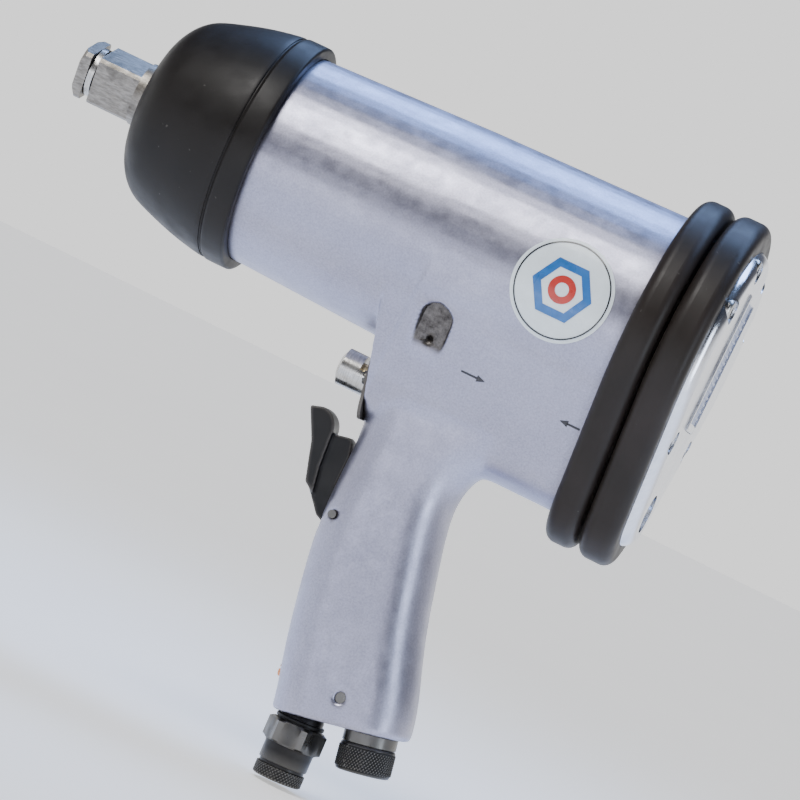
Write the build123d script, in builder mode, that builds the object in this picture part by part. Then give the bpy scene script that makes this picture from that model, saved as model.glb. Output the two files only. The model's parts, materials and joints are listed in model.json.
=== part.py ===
"""Pistol-grip air impact wrench with a 3/4 inch square drive, as separate pieces.

Frame: the origin is the centre of the anvil's front face. +X runs along the motor
axis to the rear cover, the grip hangs down along -Z and -Y is the tool's left side.
All sizes are in millimetres.
"""
import os
from math import cos, pi, radians, sin, sqrt, tan

from build123d import *

# ------------------------------------------------------------ fits and clearances
running = 0.05  # radial clearance of a shaft that turns or slides in a bore
loose = 0.3  # gap between curved faces that pass each other
face_gap = 0.4  # end play between turning and standing faces

# ------------------------------------------------------------ stations along the axis
nose_front = 33.0
boot_front = nose_front - 4.0
nose_length = 25.0
chamber_length = 80.0
end_plate_thickness = 12.0
motor_length = 76.0
spigot_length = 13.5
gasket_thickness = 0.6
cover_thickness = 18.0

chamber_front = nose_front + nose_length
front_plate_x = chamber_front + chamber_length
motor_front = front_plate_x + end_plate_thickness
motor_rear = motor_front + motor_length
rear_plate_end = motor_rear + end_plate_thickness
casting_rear = rear_plate_end + spigot_length
cover_front = casting_rear + gasket_thickness
cover_rear = cover_front + cover_thickness

# ------------------------------------------------------------ radii of the main bores
drive_square = 19.05
bar_r = drive_square / 2 + 3.075
bushing_r = bar_r + 4.4
motor_bore_r = 37.0
chamber_r = motor_bore_r - 1.5

# ------------------------------------------------------------ casting, outside
nose_profile = [
    (nose_front, bushing_r + 1.5),
    (nose_front + 3.0, chamber_r - 7.5),
    (nose_front + 9.0, chamber_r - 1.0),
    (nose_front + 19.0, chamber_r + 2.5),
    (nose_front + 33.0, chamber_r + 5.5),
]
case_step_x = motor_front + 6.0
case_step_r = motor_bore_r + 7.5
motor_rear_r = motor_bore_r + 9.4
flange_r = motor_rear_r
flange_width = 13.0
lobe_drop = motor_bore_r + 19.0
lobe_r = 19.0
boss_top_x = motor_front + 3.2
boss_top_drop = lobe_drop - 6.0
boss_rake = 11.3  # degrees, the front of the boss leans back towards the grip
boot_rear = nose_front + 52.0

# ------------------------------------------------------------ valves and trigger
valve_drop = lobe_drop + 3.8
valve_bushing_r = 9.0
spool_r = 6.6
button_r = 7.35
plate_thickness = 1.2
throttle_drop = 96.0
throttle_bore_r = 7.0
stem_r = 2.4
trigger_pin_x = motor_front + 15.5
trigger_pin_drop = 111.3
trigger_pin_r = 1.6
trigger_blade = 9.0
slot_width = 10.0

# ------------------------------------------------------------ grip and air fittings
grip_width = 36.0
grip_bottom_x = motor_front + 53.0
grip_bottom_drop = 181.0
grip_bottom_tilt = 11.7
inlet_x = grip_bottom_x - 16.4
inlet_rake = 2.8
inlet_thread_r = 7.3
exhaust_x = grip_bottom_x + 10.0

os.makedirs("parts", exist_ok=True)


def save(piece, name):
    """Label a finished piece and write it to its own file."""
    piece.part.label = name
    export_step(piece.part, f"parts/{name}.step")


def half_section(*points):
    """Closed outline of (x, radius) points, to be turned about an axis along X."""
    with BuildSketch(Plane.XZ) as outline:
        with BuildLine():
            Polyline(*points, close=True)
        make_face()
    return outline.sketch


def tube_section(x_start, x_end, r_outer, r_inner):
    """Rectangular half section of a plain ring or tube about the motor axis."""
    return half_section((x_start, r_inner), (x_end, r_inner), (x_end, r_outer), (x_start, r_outer))


def egg(x, r_main, r_lobe):
    """Section of the rear end: the motor circle and the valve lobe, joined by tangents."""
    lean = (r_main - r_lobe) / lobe_drop
    side = sqrt(1 - lean**2)
    main_point = (r_main * side, -r_main * lean)
    lobe_point = (r_lobe * side, -lobe_drop - r_lobe * lean)
    with BuildSketch(Plane.YZ.offset(x)) as outline:
        with BuildLine():
            ThreePointArc(main_point, (0, r_main), (-main_point[0], main_point[1]))
            Line((-main_point[0], main_point[1]), (-lobe_point[0], lobe_point[1]))
            ThreePointArc((-lobe_point[0], lobe_point[1]), (0, -lobe_drop - r_lobe), lobe_point)
            Line(lobe_point, main_point)
        make_face()
    return outline.sketch


def down_plane(x, drop, rake):
    """Plane under the grip whose normal points down and back by the rake angle."""
    lean = radians(rake)
    return Plane(origin=(x, 0, -drop), x_dir=(0, 1, 0), z_dir=(sin(lean), 0, -cos(lean)))


def disc(plane, start, end, radius):
    """Cylinder between two distances along a plane's normal."""
    with BuildPart(mode=Mode.PRIVATE) as solid:
        with BuildSketch(plane.offset(start)):
            Circle(radius)
        extrude(amount=end - start)
    return solid.part


grip_slope = tan(radians(grip_bottom_tilt))
inlet_drop = grip_bottom_drop + (grip_bottom_x - inlet_x) * grip_slope
exhaust_drop = grip_bottom_drop + (grip_bottom_x - exhaust_x) * grip_slope
inlet_plane = down_plane(inlet_x, inlet_drop, inlet_rake)
exhaust_plane = down_plane(exhaust_x, exhaust_drop, grip_bottom_tilt)

# ------------------------------------------------------------ casting
flange_front = casting_rear - flange_width
flange_step = 0.4
boss_start = motor_front
boss_cut_x = motor_front - 10.0
grip_end_round = 1.5
cone_slope = (case_step_r - nose_profile[-1][1]) / (case_step_x - nose_profile[-1][0])
boot_rear_r = nose_profile[-1][1] + cone_slope * (boot_rear - nose_profile[-1][0])
button_bore_r = button_r + loose
slot_floor_x = trigger_pin_x - 2.0
slot_pin_floor_x = trigger_pin_x + 7.5
slot_top_drop = throttle_drop - 15.0
throttle_seat_x = slot_floor_x + 11.5
throttle_bore_end = throttle_seat_x + 12.5
button_bore_end = slot_floor_x + 3.5
link_x = button_bore_end + 4.5
port_r = 3.0
port_front_x = motor_front + 24.0
port_spacing = motor_length - 34.0
gallery_x = motor_front + 40.0
gallery_drop = 85.0
gallery_half_width = 14.0
inlet_duct_r = 6.0
exhaust_duct_r = 5.5
inlet_spigot = 8.0
inlet_spigot_r = 9.0
exhaust_spigot = 10.0
exhaust_spigot_r = 8.3
exhaust_duct_length = 96.0
cover_screw_r = 2.5
cover_screw_depth = 12.0
cover_screw_circle = (motor_bore_r + motor_rear_r) / 2
cover_screw_places = [
    (cover_screw_circle * cos(radians(angle)), cover_screw_circle * sin(radians(angle)))
    for angle in (28.0, 66.0, 114.0, 152.0, 231.0, 309.0)
]
cross_pin_x = motor_front + 49.0
cross_pin_drop = 171.0
cross_pin_r = 2.2
regulator_drop = 172.0
regulator_r = 3.4
regulator_plane = Plane(
    origin=(motor_front + 21.5, 0, -regulator_drop),
    x_dir=(0, 1, 0),
    z_dir=(-1, 0, 0),
)
plate_screw_r = 1.5
plate_screw_length = 9.0
plate_screw_y = 11.0
plate_screw_down = (valve_drop - boss_top_drop) / cos(radians(boss_rake))
plate_screw_places = [(plate_screw_y, plate_screw_down), (-plate_screw_y, plate_screw_down)]
pocket_x = motor_front + 22.0
pocket_r = 7.2
pocket_foot_y = 26.8
pocket_foot_drop = boss_top_drop - 5.0
pocket_length = 24.4
pocket_lean = 13.5  # degrees, the pocket's floor leans out towards its top
pocket_hole_r = 2.2
pocket_hole_depth = 3.0
pocket_hole_height = 8.4

# Grip sections: drop below the axis, front and rear edge behind the motor's front, width across.
grip_sections = [
    (52.0, 5.0, 82.0, 40.0),
    (66.0, 7.6, 66.0, 37.5),
    (84.0, 9.4, 54.5, 36.0),
    (104.0, 9.4, 56.2, 35.0),
    (126.0, 11.4, 61.8, 35.0),
    (150.0, 16.0, 69.5, 36.0),
    (172.0, 21.4, 76.4, 37.0),
    (194.0, 24.6, 81.0, 37.0),
]

motor_slope = (motor_rear_r - case_step_r) / (flange_front - case_step_x)


def motor_skin_r(x):
    """Outer radius of the motor section at a place along the axis."""
    return case_step_r + motor_slope * (x - case_step_x)


boss_plane = Plane(
    origin=(boss_top_x, 0, -boss_top_drop),
    x_dir=(0, 1, 0),
    z_dir=(-cos(radians(boss_rake)), 0, -sin(radians(boss_rake))),
)
grip_end = down_plane(grip_bottom_x, grip_bottom_drop, grip_bottom_tilt)
pocket_plane = Plane(
    origin=(pocket_x, -pocket_foot_y, -pocket_foot_drop),
    x_dir=(1, 0, 0),
    z_dir=(0, -cos(radians(pocket_lean)), -sin(radians(pocket_lean))),
)

with BuildPart() as motor_housing:
    add(egg(boss_start, motor_skin_r(boss_start) - flange_step, lobe_r - flange_step))
    add(egg(flange_front, flange_r - flange_step, lobe_r - flange_step))
    loft()
    extrude(egg(flange_front, flange_r, lobe_r), amount=flange_width)
    with BuildSketch(boss_plane):
        Rectangle(150, 150)
    extrude(amount=60, mode=Mode.SUBTRACT)
    for drop, front, rear, width in grip_sections:
        with BuildSketch(Plane.XY.offset(-drop)):
            with Locations((motor_front + (front + rear) / 2, 0)):
                RectangleRounded(rear - front, width, width * 0.46)
    loft()
    with BuildSketch(grip_end):
        Rectangle(120, 120)
    extrude(amount=60, mode=Mode.SUBTRACT)
    fillet(motor_housing.faces().sort_by(Axis.Z)[0].edges(), grip_end_round)
    revolve(
        half_section(
            (nose_front, 0),
            *nose_profile,
            (case_step_x, case_step_r),
            (flange_front, motor_rear_r),
            (flange_front, motor_bore_r),
            (flange_front + 2.0, 0),
        ),
        axis=Axis.X,
    )
    # bores for the mechanism, the motor and the reverse valve
    revolve(
        half_section(
            (nose_front - 1, 0),
            (nose_front - 1, bushing_r),
            (chamber_front, bushing_r),
            (chamber_front, chamber_r),
            (front_plate_x, chamber_r),
            (front_plate_x, motor_bore_r),
            (casting_rear + 1, motor_bore_r),
            (casting_rear + 1, 0),
        ),
        axis=Axis.X,
        mode=Mode.SUBTRACT,
    )
    with BuildSketch(Plane.YZ.offset(boss_cut_x)):
        with Locations((0, -valve_drop)):
            Circle(button_bore_r)
    extrude(amount=button_bore_end - boss_cut_x, mode=Mode.SUBTRACT)
    with BuildSketch(Plane.YZ.offset(button_bore_end)):
        with Locations((0, -valve_drop)):
            Circle(valve_bushing_r)
    extrude(amount=casting_rear - button_bore_end + 1, mode=Mode.SUBTRACT)
    # trigger slot, throttle bore and the pin holes through the grip
    with BuildSketch(Plane.XZ):
        with BuildLine():
            Polyline(
                (boss_cut_x, -slot_top_drop),
                (slot_floor_x, -slot_top_drop),
                (slot_floor_x, -(throttle_drop + throttle_bore_r + loose)),
                (slot_pin_floor_x, -(throttle_drop + throttle_bore_r + loose)),
                (slot_pin_floor_x, -(trigger_pin_drop + 7)),
                (boss_cut_x, -(trigger_pin_drop + 9)),
                close=True,
            )
        make_face()
    extrude(amount=slot_width / 2, both=True, mode=Mode.SUBTRACT)
    with BuildSketch(Plane.YZ.offset(slot_floor_x)):
        with Locations((0, -throttle_drop)):
            Circle(throttle_bore_r)
    extrude(amount=throttle_bore_end - slot_floor_x, mode=Mode.SUBTRACT)
    with BuildSketch(Plane.XZ):
        with Locations((trigger_pin_x, -trigger_pin_drop)):
            Circle(trigger_pin_r)
        with Locations((cross_pin_x, -cross_pin_drop)):
            Circle(cross_pin_r)
    extrude(amount=grip_width, both=True, mode=Mode.SUBTRACT)
    # air ducts: throttle to valve, valve to motor, motor to the grip and both grip ducts
    with BuildSketch(Plane.XY.offset(-throttle_drop)):
        with Locations((link_x, 0)):
            Circle(port_r)
    extrude(amount=throttle_drop - valve_drop, mode=Mode.SUBTRACT)
    with BuildSketch(Plane.XY.offset(-valve_drop)):
        with Locations((port_front_x, 0), (port_front_x + port_spacing, 0)):
            Circle(port_r)
    extrude(amount=valve_drop - motor_bore_r + 3, mode=Mode.SUBTRACT)
    with BuildSketch(Plane.XY.offset(-gallery_drop)):
        with Locations((gallery_x, gallery_half_width), (gallery_x, -gallery_half_width)):
            Circle(port_r)
        with Locations((gallery_x, 0)):
            Rectangle(2 * port_r, 2 * gallery_half_width)
    extrude(amount=7.0, mode=Mode.SUBTRACT)
    with BuildSketch(Plane.XY.offset(5.0 - gallery_drop)):
        with Locations((gallery_x, gallery_half_width), (gallery_x, -gallery_half_width)):
            Circle(port_r)
    extrude(amount=gallery_drop - motor_bore_r - 1, mode=Mode.SUBTRACT)
    add(
        disc(inlet_plane, -(inlet_drop - throttle_drop), 5, inlet_duct_r),
        mode=Mode.SUBTRACT,
    )
    add(disc(inlet_plane, -inlet_spigot, 8, inlet_spigot_r), mode=Mode.SUBTRACT)
    add(disc(exhaust_plane, -exhaust_duct_length, 8, exhaust_duct_r), mode=Mode.SUBTRACT)
    add(disc(exhaust_plane, -exhaust_spigot, 8, exhaust_spigot_r), mode=Mode.SUBTRACT)
    # pocket with a flat leaning floor in the left side of the boss, and the hole in it
    pocket_side = pocket_length - pocket_r
    with BuildSketch(pocket_plane):
        with BuildLine():
            Polyline((-pocket_r, pocket_side), (-pocket_r, -4.0), (pocket_r, -4.0), (pocket_r, pocket_side))
            ThreePointArc((pocket_r, pocket_side), (0, pocket_length), (-pocket_r, pocket_side))
        make_face()
    extrude(amount=25, mode=Mode.SUBTRACT)
    with BuildSketch(pocket_plane.offset(-pocket_hole_depth)):
        with Locations((0, pocket_hole_height)):
            Circle(pocket_hole_r)
    extrude(amount=pocket_hole_depth + 1, mode=Mode.SUBTRACT)
    add(disc(regulator_plane, -12.0, 12.0, regulator_r), mode=Mode.SUBTRACT)
    with BuildSketch(boss_plane):
        with Locations(*plate_screw_places):
            Circle(plate_screw_r)
    extrude(amount=-plate_screw_length, mode=Mode.SUBTRACT)
    # tapped holes for the cover screws
    with BuildSketch(Plane.YZ.offset(casting_rear - cover_screw_depth)):
        with Locations(*cover_screw_places):
            Circle(cover_screw_r)
    extrude(amount=cover_screw_depth + 1, mode=Mode.SUBTRACT)
save(motor_housing, "motor_housing")

# ------------------------------------------------------------ nose, boot and bumpers
with BuildPart() as nose_bushing:
    revolve(tube_section(nose_front, chamber_front, bushing_r, bar_r + running), axis=Axis.X)
save(nose_bushing, "nose_bushing")

boot_r = chamber_r + 10.7
boot_outline = [
    (boot_front, bar_r + loose),
    (boot_front, bar_r + 1.0),
    (boot_front + 1.6, bar_r + 4.4),
    (boot_front + 3.3, boot_r - 19.4),
    (boot_front + 8.3, boot_r - 11.7),
    (boot_front + 12.8, boot_r - 8.6),
    (boot_front + 20.8, boot_r - 5.8),
    (boot_front + 30.4, boot_r - 3.0),
    (boot_front + 38.8, boot_r - 1.2),
    (boot_front + 46.8, boot_r),
    (boot_rear, boot_r),
    (boot_rear, boot_rear_r),
    *reversed(nose_profile),
    (nose_front, bar_r + loose),
]
with BuildPart() as nose_boot:
    revolve(half_section(*boot_outline), axis=Axis.X)
save(nose_boot, "nose_boot")

ring_height = 9.6
ring_round = 4.4


def bumper(x_start, width, name):
    """Rubber ring stretched round the egg-shaped rear end."""
    with BuildPart() as ring:
        extrude(egg(x_start, flange_r + ring_height, lobe_r + ring_height), amount=width)
        fillet(ring.edges(), ring_round)
        extrude(egg(x_start, flange_r, lobe_r), amount=width, mode=Mode.SUBTRACT)
    save(ring, name)


bumper_gap = 0.5
rear_bumper_width = 13.8
bumper(casting_rear - flange_width, flange_width - bumper_gap / 2, "front_bumper_ring")
bumper(cover_front + bumper_gap / 2, rear_bumper_width, "rear_bumper_ring")

# ------------------------------------------------------------ rear cover
cover_round = 5.5
cover_bore_r = motor_bore_r - 7.0
head_r = 4.4
head_height = 3.0
head_seat_x = cover_rear - 3.9
plate_recess = 0.8
nameplate_width = 25.6
nameplate_height = 2 * (motor_bore_r - 9.2)
nameplate_thickness = 1.3
nameplate_z = 2.0
nameplate_gap = 0.2
spigot_r = motor_bore_r - running

with BuildPart() as rear_cover:
    extrude(egg(cover_front, flange_r, lobe_r), amount=cover_thickness)
    fillet(rear_cover.edges().filter_by_position(Axis.X, cover_rear - 0.1, cover_rear + 0.1), cover_round)
    revolve(tube_section(rear_plate_end, cover_front, spigot_r, cover_bore_r), axis=Axis.X)
    revolve(
        tube_section(cover_front - 1, cover_rear - 6, cover_bore_r - 3, 0),
        axis=Axis.X,
        mode=Mode.SUBTRACT,
    )
    with BuildSketch(Plane.YZ.offset(cover_front)):
        with Locations(*cover_screw_places):
            Circle(cover_screw_r + loose)
        with Locations((0, -valve_drop)):
            Circle(button_bore_r)
    extrude(amount=cover_thickness, mode=Mode.SUBTRACT)
    with BuildSketch(Plane.YZ.offset(head_seat_x)):
        with Locations(*cover_screw_places):
            Circle(head_r + loose)
    extrude(amount=10, mode=Mode.SUBTRACT)
    with BuildSketch(Plane.YZ.offset(cover_rear - plate_recess)):
        with Locations((0, nameplate_z)):
            RectangleRounded(nameplate_width + 2 * nameplate_gap, nameplate_height + 2 * nameplate_gap, 3)
    extrude(amount=2, mode=Mode.SUBTRACT)
save(rear_cover, "rear_cover")

with BuildPart() as rear_gasket:
    extrude(egg(casting_rear, flange_r - 0.5, lobe_r - 0.5), amount=gasket_thickness)
    with BuildSketch(Plane.YZ.offset(casting_rear)):
        Circle(motor_bore_r)
        with Locations((0, -valve_drop)):
            Circle(valve_bushing_r + loose)
        with Locations(*cover_screw_places):
            Circle(cover_screw_r + loose)
    extrude(amount=gasket_thickness, mode=Mode.SUBTRACT)
save(rear_gasket, "rear_gasket")

screw_tip_x = casting_rear - cover_screw_depth + 1.0
with BuildPart() as cover_screws:
    with BuildSketch(Plane.YZ.offset(screw_tip_x)):
        with Locations(*cover_screw_places):
            Circle(cover_screw_r)
    extrude(amount=head_seat_x - screw_tip_x)
    with BuildSketch(Plane.YZ.offset(head_seat_x)):
        with Locations(*cover_screw_places):
            Circle(head_r)
    extrude(amount=head_height)
    fillet(cover_screws.edges().filter_by(GeomType.CIRCLE).group_by(Axis.X)[-1], 1.6)
    with BuildSketch(Plane.YZ.offset(head_seat_x + head_height)):
        with Locations(*cover_screw_places):
            RegularPolygon(2.0, 6)
    extrude(amount=-2.0, mode=Mode.SUBTRACT)
save(cover_screws, "cover_screws")

with BuildPart() as cover_nameplate:
    with BuildSketch(Plane.YZ.offset(cover_rear - plate_recess)):
        with Locations((0, nameplate_z)):
            RectangleRounded(nameplate_width, nameplate_height, 2.8)
    extrude(amount=nameplate_thickness)
save(cover_nameplate, "cover_nameplate")

badge_r = 19.4
badge_x = motor_front + 61.0
badge_z = -0.2
badge_thickness = 0.3
with BuildPart() as side_badge:
    with BuildSketch(Plane.XZ):
        with Locations((badge_x, badge_z)):
            Circle(badge_r)
    extrude(amount=60)
    badge_ends = (badge_x - badge_r - 1, badge_x + badge_r + 1)
    revolve(
        half_section(
            (badge_ends[0], 0),
            (badge_ends[0], motor_skin_r(badge_ends[0]) + badge_thickness),
            (badge_ends[1], motor_skin_r(badge_ends[1]) + badge_thickness),
            (badge_ends[1], 0),
        ),
        axis=Axis.X,
        mode=Mode.INTERSECT,
    )
    revolve(
        half_section(
            (badge_ends[0], 0),
            (badge_ends[0], motor_skin_r(badge_ends[0])),
            (badge_ends[1], motor_skin_r(badge_ends[1])),
            (badge_ends[1], 0),
        ),
        axis=Axis.X,
        mode=Mode.SUBTRACT,
    )
save(side_badge, "side_badge")

# ------------------------------------------------------------ motor
bore_offset = 3.0
liner_bore_r = motor_bore_r - 6.5
tip_gap = 0.3
rotor_r = liner_bore_r - bore_offset - tip_gap
vane_count = 6
vane_thickness = 3.0
vane_height = 11.4
slot_depth = 12.0
dowel_r = 2.5
dowel_z = motor_bore_r - 4.5
front_bearing = (10.0, 21.0, 12.0, 3.18, 9)  # bore radius, outer radius, width, ball radius, balls
rear_bearing = (8.5, 20.0, 12.0, 3.37, 8)
ball_gap = 0.07
spline_count = 8
spline_root_r = 8.0
spline_tip_r = 9.2
spline_width = 3.0

with BuildPart() as cylinder_liner:
    revolve(tube_section(motor_front, motor_rear, motor_bore_r, 0), axis=Axis.X)
    with BuildSketch(Plane.YZ.offset(motor_front)):
        with Locations((0, -bore_offset)):
            Circle(liner_bore_r)
        with Locations((0, dowel_z)):
            Circle(dowel_r)
    extrude(amount=motor_length, mode=Mode.SUBTRACT)
    with BuildSketch(Plane.XY.offset(-motor_bore_r - 1)):
        with Locations((port_front_x, 0), (port_front_x + port_spacing, 0)):
            Circle(port_r)
        with Locations((gallery_x, gallery_half_width), (gallery_x, -gallery_half_width)):
            Circle(port_r)
    extrude(amount=motor_bore_r, mode=Mode.SUBTRACT)
save(cylinder_liner, "cylinder_liner")


def end_plate(x_start, bearing, name):
    """Plate at one end of the liner that holds a ball bearing and the dowel."""
    with BuildPart() as plate:
        revolve(tube_section(x_start, x_start + end_plate_thickness, motor_bore_r, bearing[1]), axis=Axis.X)
        with BuildSketch(Plane.YZ.offset(x_start)):
            with Locations((0, dowel_z)):
                Circle(dowel_r)
        extrude(amount=end_plate_thickness, mode=Mode.SUBTRACT)
    save(plate, name)


end_plate(front_plate_x, front_bearing, "front_end_plate")
end_plate(motor_rear, rear_bearing, "rear_end_plate")

with BuildPart() as alignment_dowel:
    with BuildSketch(Plane.YZ.offset(front_plate_x + 2)):
        with Locations((0, dowel_z)):
            Circle(dowel_r)
    extrude(amount=rear_plate_end - front_plate_x - 4)
save(alignment_dowel, "alignment_dowel")


def ball_bearing(x_start, bearing, prefix):
    """Deep-groove ball bearing: two rings, the balls and the cage between them."""
    bore, outer, width, ball_r, count = bearing
    pitch = (bore + outer) / 2
    mid = x_start + width / 2
    groove = ball_r + ball_gap
    shoulder = 0.6 * ball_r
    with BuildPart() as outer_ring:
        revolve(tube_section(x_start, x_start + width, outer, pitch + shoulder), axis=Axis.X)
        with BuildSketch(Plane.XZ):
            with Locations((mid, pitch)):
                Circle(groove)
        revolve(axis=Axis.X, mode=Mode.SUBTRACT)
    save(outer_ring, f"{prefix}_bearing_outer_ring")
    with BuildPart() as inner_ring:
        revolve(tube_section(x_start, x_start + width, pitch - shoulder, bore), axis=Axis.X)
        with BuildSketch(Plane.XZ):
            with Locations((mid, pitch)):
                Circle(groove)
        revolve(axis=Axis.X, mode=Mode.SUBTRACT)
    save(inner_ring, f"{prefix}_bearing_inner_ring")
    with BuildPart(Plane.YZ.offset(mid)) as balls:
        with PolarLocations(pitch, count):
            Sphere(ball_r)
    save(balls, f"{prefix}_bearing_balls")
    with BuildPart() as cage:
        half_width = 1.35 * ball_r
        half_wall = 0.28 * ball_r
        revolve(
            tube_section(mid - half_width, mid + half_width, pitch + half_wall, pitch - half_wall),
            axis=Axis.X,
        )
        for index in range(count):
            turn = 2 * pi * index / count
            with BuildSketch(Plane(origin=(mid, 0, 0), x_dir=(1, 0, 0), z_dir=(0, cos(turn), sin(turn)))):
                Circle(ball_r + 0.12)
            extrude(amount=outer, mode=Mode.SUBTRACT)
    save(cage, f"{prefix}_bearing_cage")


ball_bearing(front_plate_x, front_bearing, "front")
ball_bearing(motor_rear, rear_bearing, "rear")


def spline_sketch(x, growth):
    """Splined section of the rotor's front end, grown all round by a clearance."""
    with BuildSketch(Plane.YZ.offset(x)) as section:
        Circle(spline_root_r + growth)
        with PolarLocations(spline_tip_r / 2 + growth / 2, spline_count):
            Rectangle(spline_tip_r + growth, spline_width + 2 * growth)
    return section.sketch


hammer_length = 27.5
hammer_gap = 0.5
cage_front_thickness = 6.0
cage_front = chamber_front + 2.5
hammers_front = cage_front + cage_front_thickness
hammers_rear = hammers_front + 2 * hammer_length + 3 * hammer_gap
cage_rear = front_plate_x - 2.0
pilot_depth = 4.5
spline_start = hammers_rear + pilot_depth + 0.5
pilot_r = spline_tip_r + 0.4

with BuildPart() as rotor:
    revolve(tube_section(motor_front + face_gap, motor_rear - face_gap, rotor_r, 0), axis=Axis.X)
    with BuildSketch(Plane.YZ.offset(motor_front)):
        with PolarLocations(rotor_r - slot_depth / 2 + 1, vane_count, start_angle=30):
            Rectangle(slot_depth + 2, vane_thickness + 2 * running)
    extrude(amount=motor_length, mode=Mode.SUBTRACT)
    revolve(tube_section(cage_rear + 0.5, motor_front + face_gap, front_bearing[0], 0), axis=Axis.X)
    revolve(tube_section(motor_rear - face_gap, rear_plate_end + 1, rear_bearing[0], 0), axis=Axis.X)
    extrude(spline_sketch(spline_start, 0), amount=cage_rear + 0.5 - spline_start)
save(rotor, "rotor")

with BuildPart() as rotor_vanes:
    with BuildSketch(Plane.YZ.offset(motor_front + face_gap)):
        with PolarLocations(rotor_r - vane_height / 2, vane_count, start_angle=30):
            Rectangle(vane_height, vane_thickness)
    extrude(amount=motor_length - 2 * face_gap)
save(rotor_vanes, "rotor_vanes")

# ------------------------------------------------------------ twin-hammer mechanism
cage_r = chamber_r - 0.8
pin_circle = chamber_r - 7.5
hammer_pin_r = 4.0
strut_inner = chamber_r - 4.9
strut_half_width = 9.0
hammer_r = chamber_r - 4.0
hammer_half_height = chamber_r - 9.9
hammer_swing = 5.0  # degrees each way about the hammer's own pin
lug_r = bar_r + 2.0
hammer_hole_r = lug_r + 4.0
anvil_core_r = bar_r - 1.6
journal_r = lug_r + 0.4
lug_half_width = 4.4

with BuildPart() as hammer_cage:
    revolve(tube_section(cage_front, hammers_front, cage_r, journal_r + running), axis=Axis.X)
    revolve(tube_section(hammers_rear, cage_rear, cage_r, 0), axis=Axis.X)
    revolve(
        tube_section(hammers_rear - 1, hammers_rear + pilot_depth, pilot_r + running, 0),
        axis=Axis.X,
        mode=Mode.SUBTRACT,
    )
    extrude(spline_sketch(hammers_rear + pilot_depth, running), amount=40, mode=Mode.SUBTRACT)
    with BuildSketch(Plane.YZ.offset(cage_front)):
        Circle(cage_r)
        Rectangle(2 * strut_half_width, 2 * cage_r, mode=Mode.INTERSECT)
        Rectangle(2 * cage_r, 2 * strut_inner, mode=Mode.SUBTRACT)
    extrude(amount=cage_rear - cage_front)
    with BuildSketch(Plane.YZ.offset(cage_front)):
        with Locations((pin_circle, 0), (-pin_circle, 0)):
            Circle(hammer_pin_r)
    extrude(amount=cage_rear - cage_front, mode=Mode.SUBTRACT)
save(hammer_cage, "hammer_cage")

with BuildPart() as hammer_pins:
    with BuildSketch(Plane.YZ.offset(cage_front + 0.5)):
        with Locations((pin_circle, 0), (-pin_circle, 0)):
            Circle(hammer_pin_r)
    extrude(amount=cage_rear - cage_front - 1.0)
save(hammer_pins, "hammer_pins")


def hammer(x_start, side, name):
    """Ring hammer that rocks on one cage pin; the other pin limits it in a wide slot."""
    slot_reach = 2 * pin_circle * sin(radians(hammer_swing)) + 1.0
    with BuildPart() as ring:
        with BuildSketch(Plane.YZ.offset(x_start)):
            Circle(hammer_r)
            Rectangle(2 * hammer_r, 2 * hammer_half_height, mode=Mode.INTERSECT)
            Circle(hammer_hole_r, mode=Mode.SUBTRACT)
            with Locations((side * pin_circle, 0)):
                Circle(hammer_pin_r + running, mode=Mode.SUBTRACT)
            with Locations((side * (hammer_hole_r - 1.0), 0)):
                Rectangle(4.0, 9.0)
            with Locations((side * pin_circle, 0)):
                Circle(hammer_pin_r + running, mode=Mode.SUBTRACT)
            with Locations((-side * pin_circle, 0)):
                RectangleRounded(
                    2 * (hammer_pin_r + 0.5),
                    2 * (hammer_pin_r + slot_reach),
                    hammer_pin_r,
                    mode=Mode.SUBTRACT,
                )
        extrude(amount=hammer_length)
    save(ring, name)


hammer(hammers_front + hammer_gap, 1, "front_hammer")
hammer(hammers_front + 2 * hammer_gap + hammer_length, -1, "rear_hammer")

# ------------------------------------------------------------ anvil and socket retainer
square_length = 25.0
square_turn = 25.0  # degrees, where the square happens to stand
groove_x = 4.2
groove_width = 3.2
retainer_r = drive_square / 2 + 0.375
retainer_bore_r = retainer_r - 1.4
groove_r = retainer_bore_r - 1.3
collar_r = bar_r + 4.0

with BuildPart() as anvil:
    revolve(
        half_section(
            (0, 0),
            (0, bar_r - 2.0),
            (1.6, bar_r),
            (chamber_front + 0.3, bar_r),
            (chamber_front + 0.3, collar_r),
            (cage_front - 0.4, collar_r),
            (cage_front - 0.4, journal_r),
            (hammers_front + 0.2, journal_r),
            (hammers_front + 0.2, anvil_core_r),
            (hammers_rear - 0.8, anvil_core_r),
            (hammers_rear - 0.8, pilot_r),
            (hammers_rear + pilot_depth - 0.4, pilot_r),
            (hammers_rear + pilot_depth - 0.4, 0),
        ),
        axis=Axis.X,
    )
    with BuildSketch(Plane.YZ):
        Circle(3 * bar_r)
        Rectangle(drive_square, drive_square, rotation=square_turn, mode=Mode.SUBTRACT)
    extrude(amount=square_length, mode=Mode.SUBTRACT)
    revolve(
        tube_section(groove_x, groove_x + groove_width, bar_r + 1, groove_r),
        axis=Axis.X,
        mode=Mode.SUBTRACT,
    )
    with BuildSketch(Plane.YZ.offset(hammers_front + hammer_gap + 1)):
        with Locations((0, lug_r / 2 + 2)):
            Rectangle(2 * lug_half_width, lug_r - 4)
        Circle(lug_r, mode=Mode.INTERSECT)
    extrude(amount=hammer_length - 2)
    with BuildSketch(Plane.YZ.offset(hammers_front + 2 * hammer_gap + hammer_length + 1)):
        with Locations((0, -lug_r / 2 - 2)):
            Rectangle(2 * lug_half_width, lug_r - 4)
        Circle(lug_r, mode=Mode.INTERSECT)
    extrude(amount=hammer_length - 2)
save(anvil, "anvil")

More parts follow.
